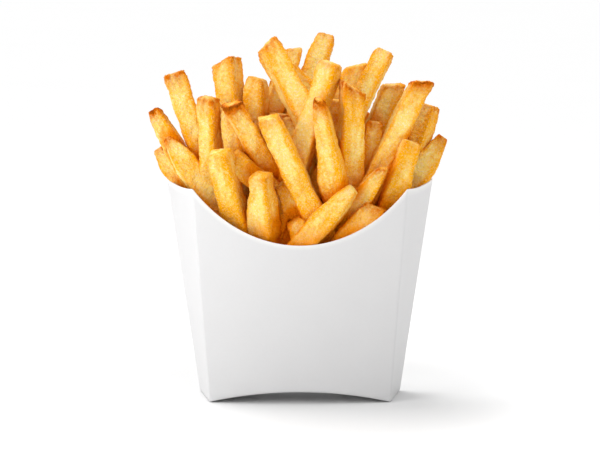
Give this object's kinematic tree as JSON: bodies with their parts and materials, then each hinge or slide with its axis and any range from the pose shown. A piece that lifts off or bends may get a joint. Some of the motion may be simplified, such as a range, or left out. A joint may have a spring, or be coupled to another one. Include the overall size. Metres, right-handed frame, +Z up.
{
  "type": "french fries in a carton",
  "caption": "Potato fries standing in a plain white paperboard scoop carton with a bowed front, dipped sides and an arched foot.",
  "frame": {"origin": "middle of the whole seen from above, on the surface that the carton stands on", "axes": "+Z up, -Y towards the scooped front panel, +X to the right as seen from the front"},
  "size_m": [0.1326, 0.0576, 0.1597],
  "materials": {
    "carton": "matte, plain white board",
    "fries": "grainy fried crust, golden with browned ends"
  },
  "bodies": {
    "root": {"carton": "carton", "fries": "fries"}
  },
  "joints": []
}
